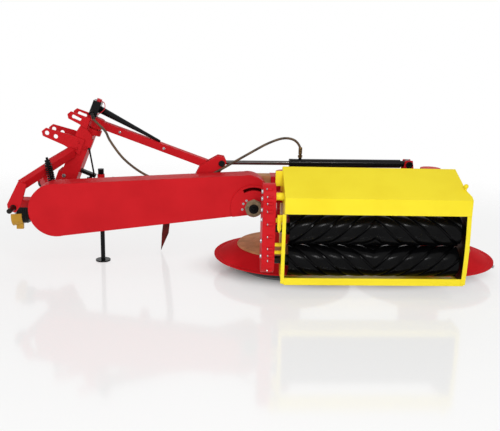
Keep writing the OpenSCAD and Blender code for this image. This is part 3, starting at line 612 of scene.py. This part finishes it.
def makeRolls():
    profile = padProfile()
    around = len(profile)
    for name, node, body, height, hand in rolls["axes"]:
        bm = bmesh.new()
        rings = []
        for k in range(-rolls["steps"], rolls["steps"] + 1):
            along = rolls["half"] * k / rolls["steps"]
            turn = -hand * rolls["wind"] * abs(along) / (rolls["half"] + 1)
            rings.append([bm.verts.new(mm(rolls["middle"] + along,
                                          rolls["back"] + radius * math.sin(math.radians(a + turn)),
                                          height - radius * math.cos(math.radians(a + turn))))
                          for a, radius in profile])
        for low, high in zip(rings, rings[1:]):
            for j in range(around):
                bm.faces.new((low[j], high[j], high[(j + 1) % around], low[(j + 1) % around]))
        for ring, sense in ((rings[0], 1), (rings[-1], -1)):
            hub = bm.verts.new(sum((v.co for v in ring), Vector()) / around)
            for j in range(around):
                bm.faces.new((ring[j], ring[(j + 1) % around], hub)[::sense])
        bmesh.ops.recalc_face_normals(bm, faces=bm.faces[:])
        piece = meshPiece(name, bm, body, mouldedRubber, rolls["sharp"])
        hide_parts(node)


makeRolls()
print("roll pads built")

# studio: pale polished floor that runs out into a white surround, soft lamps from the camera's side; lengths in metres;
# shade is the oval under the mowing head (middle X and Y, half length, half width) where the floor keeps its own tone
studio = dict(floorTone="#F2F2F1", floorWhite=0.7, floorHalf=6, mirror=0.10, mirrorRough=0.1, worldLight=0.5,
              shade=(0.55, 0.05, 0.75, 0.36), shadeFrom=0.75, shadeTo=1.35, fadeFrom=2.0, fadeTo=4.0, aimAt=(0, 0, 0.4),
              lamps=[("key", (1.1, -3.9, 3.2), 0.5, 42), ("front", (-0.1, -4.6, 1.7), 2.6, 56),
                     ("fill", (-3.0, -3.4, 1.6), 2.2, 18), ("back", (0.4, 4.4, 2.4), 2.6, 45)])


# 1 for what the eye sees straight, through glass or in a mirror, 0 for the light that falls on the object
def seenRay(tree):
    ray = addNode(tree, "ShaderNodeLightPath").outputs
    seen = addNode(tree, "ShaderNodeMath", {"operation": "MAXIMUM"},
                   {0: ray["Is Camera Ray"], 1: ray["Is Transmission Ray"]})
    either = addNode(tree, "ShaderNodeMath", {"operation": "MAXIMUM"}, {0: seen.outputs[0], 1: ray["Is Glossy Ray"]})
    return either.outputs[0]


def makeSurround():
    world = bpy.data.worlds.new("studioSurround")
    scene.world = world
    world.use_nodes = True
    tree = world.node_tree
    tree.nodes.clear()
    level = addNode(tree, "ShaderNodeMapRange", {"To Min": studio["worldLight"], "To Max": 1.0},
                    {"Value": seenRay(tree)})
    back = addNode(tree, "ShaderNodeBackground", {"Color": (1, 1, 1, 1)}, {"Strength": level.outputs["Result"]})
    addNode(tree, "ShaderNodeOutputWorld", {}, {"Surface": back.outputs["Background"]})


# pale floor: whitened to the eye away from the machine, faintly mirroring, clear at its rim
def floorFinish():
    made, tree = newMaterial("paleStudioFloor")
    place = addNode(tree, "ShaderNodeTexCoord").outputs["Object"]
    reach = addNode(tree, "ShaderNodeVectorMath", {"operation": "LENGTH"}, {0: place})
    fade = addNode(tree, "ShaderNodeMapRange", {"From Min": studio["fadeFrom"], "From Max": studio["fadeTo"],
                                                "interpolation_type": "SMOOTHSTEP"}, {"Value": reach.outputs["Value"]})
    atX, atY, halfX, halfY = studio["shade"]
    under = addNode(tree, "ShaderNodeMapping", {"vector_type": "TEXTURE", "Location": (atX, atY, 0),
                                                "Scale": (halfX, halfY, 1)}, {"Vector": place})
    away = addNode(tree, "ShaderNodeVectorMath", {"operation": "LENGTH"}, {0: under.outputs["Vector"]})
    openFloor = addNode(tree, "ShaderNodeMapRange",
                        {"From Min": studio["shadeFrom"], "From Max": studio["shadeTo"],
                         "interpolation_type": "SMOOTHSTEP", "To Max": studio["floorWhite"]},
                        {"Value": away.outputs["Value"]})
    share = addNode(tree, "ShaderNodeMath", {"operation": "MULTIPLY"},
                    {0: seenRay(tree), 1: openFloor.outputs["Result"]})
    matt = addNode(tree, "ShaderNodeBsdfPrincipled", {"Base Color": toLinear(studio["floorTone"]), "Roughness": 0.5,
                                                      "Specular IOR Level": 0.1})
    white = addNode(tree, "ShaderNodeEmission", {"Strength": 1.0})
    pale = addNode(tree, "ShaderNodeMixShader", {},
                   {0: share.outputs[0], 1: matt.outputs["BSDF"], 2: white.outputs["Emission"]})
    gloss = addNode(tree, "ShaderNodeBsdfGlossy", {"Color": (1, 1, 1, 1), "Roughness": studio["mirrorRough"]})
    polished = addNode(tree, "ShaderNodeMixShader", {"Fac": studio["mirror"]},
                       {1: pale.outputs["Shader"], 2: gloss.outputs["BSDF"]})
    clear = addNode(tree, "ShaderNodeBsdfTransparent")
    mixed = addNode(tree, "ShaderNodeMixShader", {},
                    {0: fade.outputs["Result"], 1: polished.outputs["Shader"], 2: clear.outputs["BSDF"]})
    addNode(tree, "ShaderNodeOutputMaterial", {}, {"Surface": mixed.outputs["Shader"]})
    return made


def makeFloor():
    half = studio["floorHalf"]
    bm = bmesh.new()
    bm.faces.new([bm.verts.new((x * half, y * half, 0)) for x, y in ((-1, -1), (1, -1), (1, 1), (-1, 1))])
    newObject("floor", bm, floorFinish())


def makeLamps():
    for name, place, size, watts in studio["lamps"]:
        data = bpy.data.lights.new(name, "AREA")
        data.energy = watts
        data.size = size
        lamp = bpy.data.objects.new(name, data)
        scene.collection.objects.link(lamp)
        lamp.visible_camera = False
        lamp.visible_glossy = name == "key"  # only the small lamp gives highlights
        lamp.matrix_world = aim(Vector(place), Vector(place) - Vector(studio["aimAt"]))


makeSurround()
makeFloor()
makeLamps()
print("studio lit")
